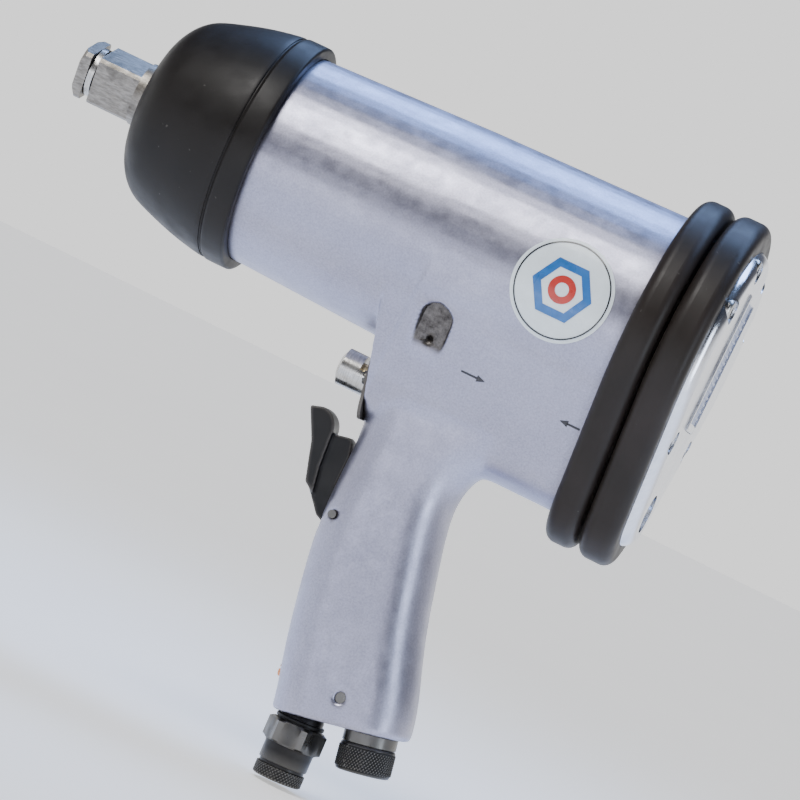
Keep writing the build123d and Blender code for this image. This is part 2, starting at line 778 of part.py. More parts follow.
retainer_mid = groove_x + groove_width / 2
with BuildPart() as socket_retaining_ring:
    revolve(
        tube_section(groove_x + 0.5, groove_x + groove_width - 0.5, retainer_r, retainer_bore_r),
        axis=Axis.X,
    )
    with BuildSketch(Plane.YZ.offset(groove_x)):
        with Locations((0, retainer_r)):
            Rectangle(2.4, retainer_r)
    extrude(amount=groove_width, mode=Mode.SUBTRACT)
save(socket_retaining_ring, "socket_retaining_ring")

retainer_cord_r = (retainer_bore_r - groove_r) / 2
with BuildPart() as retaining_ring_oring:
    with BuildSketch(Plane.XZ):
        with Locations((retainer_mid, groove_r + retainer_cord_r)):
            Circle(retainer_cord_r)
    revolve(axis=Axis.X)
save(retaining_ring_oring, "retaining_ring_oring")

# ------------------------------------------------------------ reverse valve
button_front_x = motor_front - 9.8
neck_r = 4.5
bushing_start = button_bore_end
bushing_end = casting_rear
notch_x = button_front_x + 9.2
land_width = 11.0
land_front_x = bushing_start + 1.0
rear_button_x = cover_rear - 2.0


def about_valve(*points):
    """Half section turned about the reverse-valve axis."""
    with BuildSketch(Plane.XZ) as outline:
        with BuildLine():
            Polyline(*[(x, r - valve_drop) for x, r in points], close=True)
        make_face()
    return outline.sketch


valve_axis = Axis((0, 0, -valve_drop), (1, 0, 0))

with BuildPart() as reverse_valve_bushing:
    revolve(
        about_valve(
            (bushing_start, spool_r + running),
            (bushing_end, spool_r + running),
            (bushing_end, valve_bushing_r),
            (bushing_start, valve_bushing_r),
        ),
        axis=valve_axis,
    )
    with BuildSketch(Plane.XY.offset(-valve_drop)):
        with Locations((port_front_x, 0), (port_front_x + port_spacing, 0)):
            Circle(port_r)
    extrude(amount=valve_bushing_r + 1, mode=Mode.SUBTRACT)
    with BuildSketch(Plane.XY.offset(-valve_drop)):
        with Locations((link_x + port_r, 0)):
            Circle(port_r * 0.8)
    extrude(amount=-valve_bushing_r - 1, mode=Mode.SUBTRACT)
save(reverse_valve_bushing, "reverse_valve_bushing")

seal_groove_r = spool_r - 1.6
land_places = (land_front_x, land_front_x + 26.0, land_front_x + 58.0)
with BuildPart() as reverse_valve_spool:
    revolve(
        about_valve(
            (notch_x - 4.0, 0),
            (notch_x - 4.0, neck_r),
            (land_places[0], neck_r),
            (land_places[0], spool_r),
            (land_places[0] + land_width, spool_r),
            (land_places[0] + land_width, neck_r),
            (land_places[1], neck_r),
            (land_places[1], spool_r),
            (land_places[1] + land_width, spool_r),
            (land_places[1] + land_width, neck_r),
            (land_places[2], neck_r),
            (land_places[2], spool_r),
            (land_places[2] + land_width, spool_r),
            (land_places[2] + land_width, neck_r),
            (cover_front + 6.0, neck_r),
            (cover_front + 6.0, 0),
        ),
        axis=valve_axis,
    )
    for place in land_places:
        revolve(
            about_valve(
                (place + 4.5, seal_groove_r),
                (place + 6.5, seal_groove_r),
                (place + 6.5, spool_r + 1),
                (place + 4.5, spool_r + 1),
            ),
            axis=valve_axis,
            mode=Mode.SUBTRACT,
        )
save(reverse_valve_spool, "reverse_valve_spool")

seal_cord_r = (spool_r + running / 2 - seal_groove_r) / 2
with BuildPart() as valve_orings:
    for place in land_places:
        with BuildSketch(Plane.XZ):
            with Locations((place + 5.5, seal_groove_r + seal_cord_r - valve_drop)):
                Circle(seal_cord_r)
        revolve(axis=valve_axis)
save(valve_orings, "valve_orings")

with BuildPart() as front_valve_button:
    revolve(
        about_valve(
            (button_front_x, 0),
            (button_front_x + 0.5, 4.6),
            (button_front_x + 1.8, button_r),
            (notch_x + 7.0, button_r),
            (notch_x + 7.0, 0),
        ),
        axis=valve_axis,
    )
    with BuildSketch(Plane.XZ):
        with Locations((notch_x + 5.0, -valve_drop + 1.5 + button_r)):
            Rectangle(10.0, 2 * button_r)
    extrude(amount=button_r + 1, both=True, mode=Mode.SUBTRACT)
    with BuildSketch(Plane.YZ.offset(notch_x - 4.0)):
        with Locations((0, -valve_drop)):
            Circle(neck_r)
    extrude(amount=20, mode=Mode.SUBTRACT)
save(front_valve_button, "front_valve_button")

with BuildPart() as rear_valve_button:
    revolve(
        about_valve(
            (cover_front + 0.6, neck_r),
            (cover_front + 0.6, button_r),
            (rear_button_x - 1.4, button_r),
            (rear_button_x, button_r - 2.0),
            (rear_button_x, 0),
            (cover_front + 6.0, 0),
            (cover_front + 6.0, neck_r),
        ),
        axis=valve_axis,
    )
save(rear_valve_button, "rear_valve_button")

with BuildPart() as valve_cover_plate:
    with BuildSketch(boss_plane):
        with Locations((0, 12.5)):
            RectangleRounded(29.0, 26.0, 6.0)
    extrude(amount=plate_thickness)
    with BuildSketch(Plane.YZ.offset(boss_cut_x)):
        with Locations((0, -valve_drop)):
            Circle(button_bore_r)
    extrude(amount=40, mode=Mode.SUBTRACT)
    with BuildSketch(boss_plane):
        with Locations(*plate_screw_places):
            Circle(plate_screw_r)
    extrude(amount=plate_thickness, mode=Mode.SUBTRACT)
save(valve_cover_plate, "valve_cover_plate")

with BuildPart() as plate_screws:
    with BuildSketch(boss_plane.offset(-plate_screw_length + 1)):
        with Locations(*plate_screw_places):
            Circle(plate_screw_r)
    extrude(amount=plate_screw_length - 1 + plate_thickness)
    with BuildSketch(boss_plane.offset(plate_thickness)):
        with Locations(*plate_screw_places):
            Circle(2.6)
    extrude(amount=1.4)
    fillet(plate_screws.edges().group_by(Axis((0, 0, 0), boss_plane.z_dir))[-1], 0.6)
    with BuildSketch(boss_plane.offset(plate_thickness + 1.4)):
        with Locations(*plate_screw_places):
            Rectangle(6.0, 0.7)
    extrude(amount=-0.7, mode=Mode.SUBTRACT)
save(plate_screws, "plate_screws")

# ------------------------------------------------------------ trigger and throttle
blade_rear_x = slot_floor_x - 3.5
trigger_pad = 13.0
stem_gap = 0.15


def pad_point(back, drop):
    """Point of the finger pad, placed from the trigger's pin."""
    return (trigger_pin_x - back, -(trigger_pin_drop - drop))


with BuildPart() as trigger:
    with BuildSketch(Plane.XZ):
        with BuildLine():
            Polyline(
                pad_point(22.5, 34.5),
                pad_point(27.5, 32.9),
                pad_point(21.3, 21.3),
                pad_point(16.5, 6.3),
                pad_point(11.9, 3.3),
                pad_point(13.9, 13.3),
                pad_point(15.1, 26.3),
            )
            ThreePointArc(pad_point(15.1, 26.3), pad_point(17.3, 32.3), pad_point(22.5, 34.5))
        make_face()
    extrude(amount=trigger_pad / 2, both=True)
    fillet(trigger.edges().filter_by(GeomType.LINE).filter_by(Axis.Y, reverse=True).sort_by(Axis.X)[:2], 0.5)
    with BuildSketch(Plane.XZ):
        with BuildLine():
            Polyline(
                pad_point(15.5, 26.8),
                pad_point(8.5, 28.3),
                (blade_rear_x - 1.4, -(throttle_drop - 12.0)),
                (blade_rear_x, -(throttle_drop - 6.0)),
                (blade_rear_x, -(throttle_drop + 5.0)),
                (slot_floor_x - 1.0, -(throttle_drop + throttle_bore_r + 2.0)),
                pad_point(-4.0, 4.1),
                pad_point(-5.0, 0.0),
                pad_point(-3.0, -4.5),
                pad_point(3.0, -5.3),
                pad_point(7.5, -3.3),
                pad_point(15.0, 5.3),
                close=True,
            )
        make_face()
        with Locations((trigger_pin_x, -trigger_pin_drop)):
            Circle(trigger_pin_r + running, mode=Mode.SUBTRACT)
    extrude(amount=trigger_blade / 2, both=True)
save(trigger, "trigger")

with BuildPart() as trigger_pin:
    with BuildSketch(Plane.XZ):
        with Locations((trigger_pin_x, -trigger_pin_drop)):
            Circle(trigger_pin_r)
    extrude(amount=grip_width / 2 - 2.0, both=True)
save(trigger_pin, "trigger_pin")

with BuildPart() as grip_cross_pin:
    with BuildSketch(Plane.XZ):
        with Locations((cross_pin_x, -cross_pin_drop)):
            Circle(cross_pin_r)
    extrude(amount=grip_width / 2 - 1.0, both=True)
save(grip_cross_pin, "grip_cross_pin")


def about_throttle(*points):
    """Half section turned about the throttle's axis."""
    with BuildSketch(Plane.XZ) as outline:
        with BuildLine():
            Polyline(*[(x, r - throttle_drop) for x, r in points], close=True)
        make_face()
    return outline.sketch


throttle_axis = Axis((0, 0, -throttle_drop), (1, 0, 0))
valve_disc_r = 4.6
valve_disc_end = throttle_seat_x + 5.0
spring_wire_r = 0.45
spring_coil_r = 3.4
seat_hole_r = 3.4

with BuildPart() as throttle_seat:
    revolve(
        about_throttle(
            (slot_floor_x, stem_r + running),
            (slot_floor_x + 4.0, stem_r + running),
            (slot_floor_x + 4.0, seat_hole_r),
            (throttle_seat_x, seat_hole_r),
            (throttle_seat_x, throttle_bore_r),
            (slot_floor_x, throttle_bore_r),
        ),
        axis=throttle_axis,
    )
    with BuildSketch(Plane.XY.offset(-throttle_drop)):
        with Locations((link_x, 0)):
            Circle(port_r * 0.8)
    extrude(amount=throttle_bore_r + 1, mode=Mode.SUBTRACT)
save(throttle_seat, "throttle_seat")

with BuildPart() as throttle_stem:
    revolve(
        about_throttle(
            (blade_rear_x + stem_gap, 0),
            (blade_rear_x + stem_gap + 0.3, 1.4),
            (blade_rear_x + stem_gap + 1.4, stem_r),
            (slot_floor_x + 4.5, stem_r),
            (slot_floor_x + 4.5, 1.5),
            (throttle_seat_x, 1.5),
            (throttle_seat_x, 0),
        ),
        axis=throttle_axis,
    )
save(throttle_stem, "throttle_stem")

with BuildPart() as throttle_valve:
    revolve(
        about_throttle(
            (throttle_seat_x, 0),
            (throttle_seat_x, valve_disc_r),
            (throttle_seat_x + 2.4, valve_disc_r),
            (throttle_seat_x + 2.4, spring_coil_r - spring_wire_r - 0.2),
            (valve_disc_end, spring_coil_r - spring_wire_r - 0.4),
            (valve_disc_end, 0),
        ),
        axis=throttle_axis,
    )
save(throttle_valve, "throttle_valve")

spring_start = throttle_seat_x + 2.4 + spring_wire_r
spring_length = throttle_bore_end - spring_start - spring_wire_r
with BuildPart() as throttle_spring:
    with BuildLine() as spring_path:
        Helix(
            pitch=spring_length / 5,
            height=spring_length,
            radius=spring_coil_r,
            center=(spring_start, 0, -throttle_drop),
            direction=(1, 0, 0),
        )
    with BuildSketch(Plane(origin=spring_path.line @ 0, z_dir=spring_path.line % 0)):
        Circle(spring_wire_r)
    sweep(path=spring_path.line, is_frenet=True)
save(throttle_spring, "throttle_spring")

# ------------------------------------------------------------ air fittings under the grip
inlet_length = 26.4
hex_flats = 20.6
hex_start = 3.8
hex_end = 12.8
fitting_r = 9.8
fitting_neck_r = 8.6
inlet_thread_depth = 18.0
screen_r = 6.6
screen_depth = 1.2


def about_fitting(plane, *points):
    """Half section of (distance, radius) points, turned about a fitting's own axis."""
    section_plane = Plane(origin=plane.origin, x_dir=plane.z_dir, z_dir=(0, -1, 0))
    with BuildSketch(section_plane) as outline:
        with BuildLine():
            Polyline(*points, close=True)
        make_face()
    return outline.sketch


inlet_axis = Axis(inlet_plane.origin, inlet_plane.z_dir)
exhaust_axis = Axis(exhaust_plane.origin, exhaust_plane.z_dir)

with BuildPart() as inlet_bushing:
    revolve(
        about_fitting(
            inlet_plane,
            (-inlet_spigot, 5.5),
            (-inlet_spigot, inlet_spigot_r),
            (0.0, inlet_spigot_r),
            (0.0, fitting_neck_r),
            (hex_start, fitting_neck_r),
            (hex_start, hex_flats * 0.565),
            (hex_end, hex_flats * 0.565),
            (hex_end, fitting_r),
            (inlet_length - 6.2, fitting_r),
            (inlet_length - 6.2, fitting_r - 0.9),
            (inlet_length - 5.0, fitting_r - 0.9),
            (inlet_length - 5.0, fitting_r),
            (inlet_length - 0.6, fitting_r),
            (inlet_length, fitting_r - 0.7),
            (inlet_length, inlet_thread_r),
            (inlet_length - inlet_thread_depth, inlet_thread_r),
            (inlet_length - inlet_thread_depth, screen_r),
            (inlet_length - inlet_thread_depth - screen_depth, screen_r),
            (inlet_length - inlet_thread_depth - screen_depth, 5.5),
        ),
        axis=inlet_axis,
    )
    with BuildSketch(inlet_plane.offset(hex_start)):
        Circle(3 * fitting_r)
        RegularPolygon(hex_flats / 2, 6, major_radius=False, mode=Mode.SUBTRACT)
    extrude(amount=hex_end - hex_start, mode=Mode.SUBTRACT)
save(inlet_bushing, "inlet_bushing")

oring_cord_r = 1.0
oring_start = (fitting_neck_r + oring_cord_r) * tan(radians(grip_bottom_tilt - inlet_rake)) + loose
with BuildPart() as inlet_oring:
    revolve(
        about_fitting(
            inlet_plane,
            (oring_start, fitting_neck_r),
            (oring_start, fitting_neck_r + oring_cord_r),
            (oring_start + 1.6 * oring_cord_r, fitting_neck_r + oring_cord_r),
            (oring_start + 1.6 * oring_cord_r, fitting_neck_r),
        ),
        axis=inlet_axis,
    )
    fillet(inlet_oring.edges().filter_by(GeomType.CIRCLE).group_by(SortBy.RADIUS)[-1], 0.6)
save(inlet_oring, "inlet_oring")

with BuildPart() as inlet_screen:
    with BuildSketch(inlet_plane.offset(inlet_length - inlet_thread_depth - screen_depth)):
        Circle(screen_r - running)
        with GridLocations(2.0, 2.0, 5, 5):
            Rectangle(1.2, 1.2, mode=Mode.SUBTRACT)
    extrude(amount=0.8)
save(inlet_screen, "inlet_screen")

adapter_length = 11.4
adapter_stub_r = 7.6
collar_length = 4.4
deflector_r = 11.0
deflector_start = collar_length + 0.35
deflector_end = 15.6

with BuildPart() as exhaust_adapter:
    revolve(
        about_fitting(
            exhaust_plane,
            (-exhaust_spigot, 5.6),
            (-exhaust_spigot, exhaust_spigot_r),
            (0.4, exhaust_spigot_r),
            (0.4, 10.4),
            (collar_length, 10.4),
            (collar_length, adapter_stub_r),
            (adapter_length - 2.6, adapter_stub_r),
            (adapter_length - 2.6, adapter_stub_r - 0.9),
            (adapter_length - 1.2, adapter_stub_r - 0.9),
            (adapter_length - 1.2, adapter_stub_r),
            (adapter_length, adapter_stub_r),
            (adapter_length, 5.6),
        ),
        axis=exhaust_axis,
    )
save(exhaust_adapter, "exhaust_adapter")

with BuildPart() as deflector_clip:
    revolve(
        about_fitting(
            exhaust_plane,
            (adapter_length - 2.5, adapter_stub_r - 0.85),
            (adapter_length - 2.5, adapter_stub_r + 0.7),
            (adapter_length - 1.3, adapter_stub_r + 0.7),
            (adapter_length - 1.3, adapter_stub_r - 0.85),
        ),
        axis=exhaust_axis,
    )
save(deflector_clip, "deflector_clip")

with BuildPart() as exhaust_deflector:
    revolve(
        about_fitting(
            exhaust_plane,
            (deflector_start, adapter_stub_r + running),
            (deflector_start, deflector_r - 0.5),
            (deflector_start + 0.8, deflector_r),
            (deflector_end - 0.8, deflector_r),
            (deflector_end, deflector_r - 0.8),
            (deflector_end, 0),
            (deflector_end - 1.6, 0),
            (deflector_end - 1.6, adapter_stub_r + running + 1.0),
            (adapter_length - 2.8, adapter_stub_r + running + 1.0),
            (adapter_length - 2.8, adapter_stub_r + running),
        ),
        axis=exhaust_axis,
    )
    with BuildSketch(exhaust_plane.offset(deflector_end - 2.0)):
        with PolarLocations(5.0, 6):
            SlotOverall(4.0, 2.2)
    extrude(amount=3.0, mode=Mode.SUBTRACT)
save(exhaust_deflector, "exhaust_deflector")

with BuildPart() as exhaust_muffler:
    with BuildSketch(exhaust_plane.offset(-6.0)):
        Circle(5.6)
    extrude(amount=adapter_length + 4.0)
save(exhaust_muffler, "exhaust_muffler")

# ------------------------------------------------------------ regulator screw
regulator_axis = Axis(regulator_plane.origin, regulator_plane.z_dir)
with BuildPart() as regulator_screw:
    revolve(
        about_fitting(
            regulator_plane,
            (0.6, 0),
            (0.6, regulator_r - 0.4),
            (0.2, regulator_r - running),
            (-6.0, regulator_r - running),
            (-9.0, 1.2),
            (-9.0, 0),
        ),
        axis=regulator_axis,
    )
    with BuildSketch(regulator_plane.offset(0.6)):
        Rectangle(2 * regulator_r, 0.9)
    extrude(amount=-1.0, mode=Mode.SUBTRACT)
save(regulator_screw, "regulator_screw")
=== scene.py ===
"""Looks of the pistol-grip air impact wrench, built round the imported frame."""

import json
from math import cos, pi, radians, sin

import bmesh
import bpy
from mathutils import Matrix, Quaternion, Vector
from mathutils.bvhtree import BVHTree


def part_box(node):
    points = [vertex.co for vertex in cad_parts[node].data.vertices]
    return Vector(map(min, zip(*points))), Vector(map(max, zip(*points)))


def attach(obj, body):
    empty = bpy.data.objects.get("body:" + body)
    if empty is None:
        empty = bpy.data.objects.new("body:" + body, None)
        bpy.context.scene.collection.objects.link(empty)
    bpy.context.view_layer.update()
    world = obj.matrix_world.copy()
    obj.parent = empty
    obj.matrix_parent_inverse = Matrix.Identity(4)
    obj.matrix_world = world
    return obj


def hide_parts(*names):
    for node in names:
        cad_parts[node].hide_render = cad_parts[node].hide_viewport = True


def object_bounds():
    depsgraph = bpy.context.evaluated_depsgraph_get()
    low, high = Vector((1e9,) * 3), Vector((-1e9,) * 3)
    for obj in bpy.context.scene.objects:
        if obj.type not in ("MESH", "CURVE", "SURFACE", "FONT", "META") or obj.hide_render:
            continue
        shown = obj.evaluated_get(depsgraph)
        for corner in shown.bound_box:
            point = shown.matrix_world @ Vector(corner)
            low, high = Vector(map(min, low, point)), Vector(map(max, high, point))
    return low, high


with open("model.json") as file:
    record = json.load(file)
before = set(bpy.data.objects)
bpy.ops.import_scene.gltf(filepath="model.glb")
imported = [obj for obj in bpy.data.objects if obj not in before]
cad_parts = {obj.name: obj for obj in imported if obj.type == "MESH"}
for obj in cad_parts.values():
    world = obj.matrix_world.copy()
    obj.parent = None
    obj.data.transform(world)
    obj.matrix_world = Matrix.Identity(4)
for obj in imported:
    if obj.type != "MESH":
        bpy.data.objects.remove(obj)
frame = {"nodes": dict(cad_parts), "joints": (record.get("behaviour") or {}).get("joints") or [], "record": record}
cad_low, cad_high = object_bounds()
NODES = frame["nodes"]
MM = 0.001


# ------------------------------------------------------------------ shader helpers
class Shader:
    """A material's node tree with short calls for the nodes used here."""

    def __init__(self, name):
        self.material = bpy.data.materials.new(name)
        self.material.use_nodes = True
        self.nodes = self.material.node_tree.nodes
        self.links = self.material.node_tree.links
        self.bsdf = self.nodes["Principled BSDF"]
        coordinates = self.nodes.new("ShaderNodeTexCoord")
        self.place = coordinates.outputs["Object"]

    def put(self, **sockets):
        """Constant values on the shader's own sockets."""
        for name, value in sockets.items():
            self.bsdf.inputs[name.replace("_", " ")].default_value = value

    def noise(self, scale, detail=3.0, rough=0.5, stretch=None):
        """Noise over the piece, finer along the directions with a larger stretch."""
        place = self.place
        if stretch:
            mapping = self.nodes.new("ShaderNodeMapping")
            mapping.inputs["Scale"].default_value = stretch
            self.links.new(place, mapping.inputs["Vector"])
            place = mapping.outputs["Vector"]
        node = self.nodes.new("ShaderNodeTexNoise")
        node.inputs["Scale"].default_value = scale
        node.inputs["Detail"].default_value = detail
        node.inputs["Roughness"].default_value = rough
        self.links.new(place, node.inputs["Vector"])
        return node.outputs["Fac"]

    def ramp(self, value, low, high, start, end):
        """Map a value between two places onto two colours or greys."""
        node = self.nodes.new("ShaderNodeValToRGB")
        node.color_ramp.elements[0].position = start
        node.color_ramp.elements[1].position = end
        node.color_ramp.elements[0].color = low if isinstance(low, tuple) else (low, low, low, 1)
        node.color_ramp.elements[1].color = high if isinstance(high, tuple) else (high, high, high, 1)
        self.links.new(value, node.inputs["Fac"])
        return node.outputs["Color"]

    def mix(self, factor, a, b):
        """Blend from a to b by a factor, each a constant or an output."""
        node = self.nodes.new("ShaderNodeMix")
        node.data_type = "RGBA"
        for socket, value in ((node.inputs[0], factor), (node.inputs[6], a), (node.inputs[7], b)):
            if isinstance(value, (int, float, tuple)):
                socket.default_value = value
            else:
                self.links.new(value, socket)
        return node.outputs[2]

    def bump(self, height, strength, distance, normal=None):
        """Fine relief from a height, on top of an earlier relief if one is given."""
        node = self.nodes.new("ShaderNodeBump")
        node.inputs["Strength"].default_value = strength
        node.inputs["Distance"].default_value = distance
        self.links.new(height, node.inputs["Height"])
        if normal:
            self.links.new(normal, node.inputs["Normal"])
        return node.outputs["Normal"]

    def wire(self, output, socket):
        """Link an output to one of the shader's own sockets."""
        self.links.new(output, self.bsdf.inputs[socket])

    def edge_wear(self):
        """Bright where the surface is convex, from the pointiness of the mesh."""
        node = self.nodes.new("ShaderNodeNewGeometry")
        return self.ramp(node.outputs["Pointiness"], 0.0, 1.0, 0.505, 0.56)

    def hollow(self, reach, dark, clear):
        """Share that is 0 deep in a narrow recess and 1 on open surface."""
        shade = self.nodes.new("ShaderNodeAmbientOcclusion")
        shade.samples = 8
        shade.inputs["Distance"].default_value = reach
        share = self.nodes.new("ShaderNodeMapRange")
        share.inputs["From Min"].default_value = dark
        share.inputs["From Max"].default_value = clear
        self.links.new(shade.outputs["AO"], share.inputs["Value"])
        return share.outputs["Result"]

    def attribute(self, name):
        """Value stored under a name on the mesh's vertices."""
        node = self.nodes.new("ShaderNodeAttribute")
        node.attribute_name = name
        return node.outputs["Fac"]


def rgb(r, g, b):
    """Opaque colour."""
    return (r, g, b, 1.0)


# ------------------------------------------------------------------ materials
# Name of the vertex share of painted shade on the side pocket's floor and hole.
POCKET_SHADE_MARK = "sunk"


def cast_aluminium():
    """Satin die casting: pale lilac silver with a fine grain, with painted shade darkening its recesses and its
    side pocket's floor.
    """
    m = Shader("cast_aluminium")
    cloud = m.noise(22.0, 4.0, 0.6)
    grain = m.noise(1400.0, 2.0, 0.6)
    tone = m.ramp(cloud, rgb(0.35, 0.35, 0.46), rgb(0.46, 0.46, 0.58), 0.3, 0.7)
    speck = m.ramp(grain, rgb(0.26, 0.26, 0.36), rgb(0.6, 0.6, 0.72), 0.3, 0.72)
    # Painted shade: a dark colour blended in where the ambient occlusion finds a narrow recess.
    recess_shade_colour = rgb(0.075, 0.062, 0.055)
    skin = m.mix(m.hollow(0.009, 0.3, 0.75), recess_shade_colour, m.mix(0.35, tone, speck))
    # Painted shade on the side pocket's floor and hole: a dark colour weighted by the pocket mark.
    pocket_shade = m.ramp(m.noise(420.0, 4.0, 0.7), rgb(0.05, 0.045, 0.042), rgb(0.2, 0.185, 0.175), 0.3, 0.75)
    m.wire(m.mix(m.attribute(POCKET_SHADE_MARK), skin, pocket_shade), "Base Color")
    m.wire(m.ramp(m.noise(160.0, 4.0), 0.3, 0.42, 0.3, 0.7), "Roughness")
    waves = m.bump(m.noise(60.0, 3.0), 0.12, 0.0008)
    m.wire(m.bump(grain, 0.22, 0.00012, waves), "Normal")
    m.put(Metallic=0.93)
    return m.material


def polished_aluminium():
    """Buffed cover: bright, slightly wavy, with fine buffing lines."""
    m = Shader("polished_cover")
    lines = m.noise(260.0, 3.0, 0.6, stretch=(1.0, 9.0, 1.0))
    m.wire(m.ramp(lines, rgb(0.7, 0.72, 0.79), rgb(0.86, 0.88, 0.93), 0.3, 0.7), "Base Color")
    m.wire(m.ramp(m.noise(45.0, 4.0), 0.13, 0.27, 0.3, 0.75), "Roughness")
    waves = m.bump(m.noise(55.0, 2.0), 0.25, 0.001)
    m.wire(m.bump(lines, 0.1, 0.00008, waves), "Normal")
    m.put(Metallic=1.0)
    return m.material


def rubber(name, brown):
    """Moulded black rubber with faint clouds and pale dust, and a share of brown in the black."""
    m = Shader(name)
    cloud = m.noise(30.0, 5.0, 0.6)
    dark = rgb(0.004 + brown, 0.004 + 0.7 * brown, 0.004 + 0.5 * brown)
    light = rgb(0.01 + 1.6 * brown, 0.01 + brown, 0.01 + 0.8 * brown)
    base = m.ramp(cloud, dark, light, 0.3, 0.75)
    dust = m.ramp(m.noise(420.0, 2.0), 0.0, 1.0, 0.74, 0.8)
    m.wire(m.mix(dust, base, rgb(0.06, 0.055, 0.05)), "Base Color")
    m.wire(m.ramp(m.noise(120.0, 4.0), 0.36, 0.5, 0.3, 0.7), "Roughness")
    m.wire(m.bump(m.noise(900.0, 3.0), 0.18, 0.0001), "Normal")
    m.put(Specular_IOR_Level=0.25)
    return m.material


def steel(name, dark, light, rough_low, rough_high, stretch, stain=None):
    """Machined steel with tool marks along one direction and faint stains."""
    m = Shader(name)
    marks = m.noise(300.0, 3.0, 0.65, stretch=stretch)
    base = m.ramp(marks, dark, light, 0.3, 0.7)
    if stain:
        patch = m.ramp(m.noise(95.0, 4.0, 0.65), 0.0, 1.0, 0.52, 0.72)
        base = m.mix(patch, base, stain)
    m.wire(base, "Base Color")
    m.wire(m.ramp(m.noise(140.0, 4.0), rough_low, rough_high, 0.3, 0.7), "Roughness")
    m.wire(m.bump(marks, 0.2, 0.0001), "Normal")
    m.put(Metallic=1.0)
    return m.material


def black_oxide():
    """Blackened steel, oiled, rubbed brown-grey on its edges."""
    m = Shader("black_oxide")
    cloud = m.noise(70.0, 4.0, 0.6)
    base = m.ramp(cloud, rgb(0.018, 0.018, 0.02), rgb(0.05, 0.048, 0.046), 0.3, 0.75)
    m.wire(m.mix(m.edge_wear(), base, rgb(0.16, 0.155, 0.145)), "Base Color")
    m.wire(m.ramp(m.noise(210.0, 3.0), 0.26, 0.44, 0.3, 0.7), "Roughness")
    m.wire(m.bump(m.noise(700.0, 3.0), 0.15, 0.0001), "Normal")
    m.put(Metallic=0.9)
    return m.material


def satin_black(name):
    """Black satin coating with a little orange peel and worn corners."""
    m = Shader(name)
    base = m.ramp(m.noise(60.0, 4.0), rgb(0.006, 0.006, 0.007), rgb(0.014, 0.013, 0.013), 0.3, 0.7)
    m.wire(m.mix(m.edge_wear(), base, rgb(0.12, 0.11, 0.1)), "Base Color")
    m.wire(m.ramp(m.noise(150.0, 3.0), 0.3, 0.45, 0.3, 0.7), "Roughness")
    m.wire(m.bump(m.noise(520.0, 2.0), 0.16, 0.00012), "Normal")
    m.put(Specular_IOR_Level=0.3)
    return m.material


def printed(name, colour, variation):
    """Printed label film under a clear coat."""
    m = Shader(name)
    low = rgb(*[c * (1 - variation) for c in colour])
    m.wire(m.ramp(m.noise(240.0, 3.0), low, rgb(*colour), 0.3, 0.7), "Base Color")
    m.wire(m.ramp(m.noise(90.0, 2.0), 0.22, 0.32, 0.3, 0.7), "Roughness")
    m.put(Coat_Weight=0.4, Coat_Roughness=0.1)
    return m.material


def matte(name, low, high, rough):
    """Dull inner material, such as gasket paper, felt or moulded resin."""
    m = Shader(name)
    m.wire(m.ramp(m.noise(520.0, 5.0, 0.7), low, high, 0.3, 0.7), "Base Color")
    m.wire(m.bump(m.noise(800.0, 4.0), 0.4, 0.0002), "Normal")
    m.put(Roughness=rough)
    return m.material


MATERIALS = {
    "cast_aluminium": cast_aluminium(),
    "polished_cover": polished_aluminium(),
    "rubber": rubber("rubber", 0.004),
    "bumper_rubber": rubber("bumper_rubber", 0.011),
    "seal_rubber": rubber("seal_rubber", 0.0),
    "drive_steel": steel(
        "drive_steel", rgb(0.2, 0.185, 0.165), rgb(0.4, 0.375, 0.34), 0.32, 0.5, (1, 4, 4),
        stain=rgb(0.13, 0.12, 0.105),
    ),
    "bright_steel": steel(
        "bright_steel", rgb(0.44, 0.43, 0.41), rgb(0.7, 0.69, 0.67), 0.2, 0.36, (5, 1, 1),
        stain=rgb(0.3, 0.28, 0.25),
    ),
    "hardened_steel": steel(
        "hardened_steel", rgb(0.2, 0.2, 0.21), rgb(0.4, 0.4, 0.41), 0.25, 0.4, (4, 1, 1)
    ),
    "plate_iron": steel("plate_iron", rgb(0.26, 0.26, 0.26), rgb(0.42, 0.42, 0.42), 0.4, 0.6, (1, 1, 1)),
    "bronze": steel("bronze", rgb(0.45, 0.28, 0.12), rgb(0.7, 0.47, 0.22), 0.3, 0.5, (5, 1, 1)),
    "valve_brass": steel("valve_brass", rgb(0.6, 0.46, 0.2), rgb(0.85, 0.7, 0.38), 0.18, 0.3, (5, 1, 1)),
    "black_oxide": black_oxide(),
    "trigger_black": satin_black("trigger_black"),
    "copper_screw": steel("copper_screw", rgb(0.55, 0.2, 0.08), rgb(0.85, 0.38, 0.18), 0.22, 0.4, (1, 1, 5)),
    "gasket_paper": matte("gasket_paper", rgb(0.2, 0.17, 0.12), rgb(0.36, 0.31, 0.24), 0.85),
    "muffler_felt": matte("muffler_felt", rgb(0.34, 0.32, 0.27), rgb(0.56, 0.53, 0.46), 0.95),
    "vane_composite": matte("vane_composite", rgb(0.14, 0.08, 0.03), rgb(0.3, 0.19, 0.1), 0.6),
    "valve_plastic": matte("valve_plastic", rgb(0.55, 0.52, 0.44), rgb(0.72, 0.69, 0.6), 0.5),
    "badge_white": printed("badge_white", (0.82, 0.9, 0.93), 0.06),
    "badge_blue": printed("badge_blue", (0.03, 0.17, 0.5), 0.25),
    "badge_red": printed("badge_red", (0.6, 0.05, 0.04), 0.2),
    "marking_black": printed("marking_black", (0.02, 0.02, 0.03), 0.4),
    "nameplate": steel("nameplate", rgb(0.2, 0.26, 0.46), rgb(0.36, 0.44, 0.66), 0.22, 0.36, (1, 6, 1)),
}

